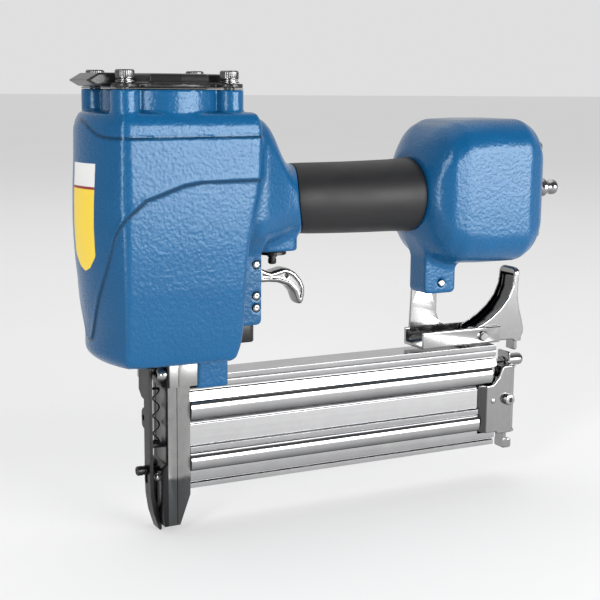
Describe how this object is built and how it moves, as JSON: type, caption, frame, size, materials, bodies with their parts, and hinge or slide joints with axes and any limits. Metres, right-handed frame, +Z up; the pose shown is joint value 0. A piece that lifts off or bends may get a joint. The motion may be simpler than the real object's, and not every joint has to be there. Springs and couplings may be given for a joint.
{
  "type": "brad nailer",
  "caption": "Compressed-air brad nailer: cast body with bolted head cap, sleeved grip, trigger, contact safety, nose and a latched sliding magazine.",
  "frame": {"origin": "under the middle of the tool's overall box, at the height of the contact foot's tip", "axes": "+X from the nose and head side to the air plug along the handle, +Y across the tool to its left side, +Z up from the nose tip to the head cap; the magazine and the handle run along X"},
  "size_m": [0.314, 0.073, 0.2536],
  "materials": {
    "blue_paint": "hammered gloss enamel over die casting",
    "black_paint": "satin black",
    "black_steel": "blackened steel",
    "rubber": "fine-grained matte sleeve",
    "seal": "moulded seal",
    "gasket": "compressed fibre sheet",
    "urethane": "cast urethane",
    "aluminium": "polished extrusion",
    "machined": "machined",
    "sheet_steel": "bright zinc plated sheet",
    "cast_steel": "satin sintered steel",
    "chrome": "bright plated",
    "zinc": "zinc plated",
    "spring_steel": "drawn spring steel"
  },
  "bodies": {
    "body": {"air_plug": "zinc", "bracket_pin": "zinc", "bumper": "urethane", "cap_screw_1": "zinc", "cap_screw_2": "zinc", "cap_screw_3": "zinc", "cap_screw_4": "zinc", "cap_washer_1": "zinc", "cap_washer_2": "zinc", "cap_washer_3": "zinc", "cap_washer_4": "zinc", "cylinder": "aluminium", "cylinder_cap": "black_paint", "cylinder_seal": "seal", "end_cap": "blue_paint", "end_cap_gasket": "gasket", "end_cap_screw_1": "zinc", "end_cap_screw_2": "zinc", "end_cap_screw_3": "zinc", "end_cap_screw_4": "zinc", "end_cap_seat": "cast_steel", "foot_guide_screw": "black_steel", "grip_sleeve": "rubber", "gun_body": "blue_paint", "head_gasket": "gasket", "head_valve_spring": "spring_steel", "latch_pin": "chrome", "latch_spring": "spring_steel", "lower_guide_pin": "zinc", "magazine_body": "aluminium", "nose_front_plate": "cast_steel", "nose_rear_plate": "cast_steel", "nose_screw_1": "zinc", "nose_screw_2": "zinc", "rear_bracket": "sheet_steel", "safety_spring": "spring_steel", "trigger_pin": "zinc", "trigger_spring": "spring_steel", "upper_guide_pin": "zinc", "valve_housing": "black_steel", "valve_spring": "spring_steel"},
    "trigger": {"trigger": "chrome"},
    "valve_stem": {"valve_stem": "black_steel"},
    "contact_safety": {"contact_foot": "cast_steel", "safety_link": "spring_steel", "safety_leg": "black_steel"},
    "piston": {"piston": "machined", "piston_ring": "seal", "driver_blade": "spring_steel"},
    "head_valve": {"head_valve": "urethane"},
    "magazine": {"magazine_slide": "sheet_steel", "magazine_end_cap": "zinc", "magazine_end_block": "aluminium", "magazine_end_bolt": "zinc", "magazine_pull_knob": "chrome"},
    "pusher": {"pusher": "black_steel", "pusher_spring_roll": "spring_steel"},
    "latch": {"latch_lever": "chrome"}
  },
  "joints": [
    {"name": "trigger_pull", "type": "hinge", "parent": "body", "child": "trigger", "pos_m": [-0.06075, 0, 0.1488], "axis": [0, -1, 0], "range_deg": [0, 9], "stiffness_Nm_per_rad": 0.25, "springref_deg": -14.32},
    {"name": "valve_stem_slide", "type": "slide", "parent": "body", "child": "valve_stem", "axis": [0, 0, 1], "range_m": [0, 0.0032], "deforming": ["valve_spring"]},
    {"name": "safety_slide", "type": "slide", "parent": "body", "child": "contact_safety", "axis": [0, 0, 1], "range_m": [0, 0.0055], "stiffness_N_per_m": 600, "springref_m": -0.012, "deforming": ["safety_spring"]},
    {"name": "piston_stroke", "type": "slide", "parent": "body", "child": "piston", "axis": [0, 0, -1], "range_m": [0, 0.076]},
    {"name": "head_valve_lift", "type": "slide", "parent": "body", "child": "head_valve", "axis": [0, 0, 1], "range_m": [0, 0.004], "stiffness_N_per_m": 800, "springref_m": -0.006, "deforming": ["head_valve_spring"]},
    {"name": "magazine_open", "type": "slide", "parent": "body", "child": "magazine", "axis": [1, 0, 0], "range_m": [0, 0.15]},
    {"name": "pusher_travel", "type": "slide", "parent": "magazine", "child": "pusher", "axis": [1, 0, 0], "range_m": [0, 0.15], "stiffness_N_per_m": 8, "springref_m": -0.35},
    {"name": "latch_release", "type": "hinge", "parent": "body", "child": "latch", "pos_m": [0.09855, 0, 0.094], "axis": [0, -1, 0], "range_deg": [0, 15], "stiffness_Nm_per_rad": 0.3, "springref_deg": -22.92}
  ],
  "couplings": [
    {"joint": "valve_stem_slide", "follows": "trigger_pull", "m_per_rad": 0.0184}
  ]
}
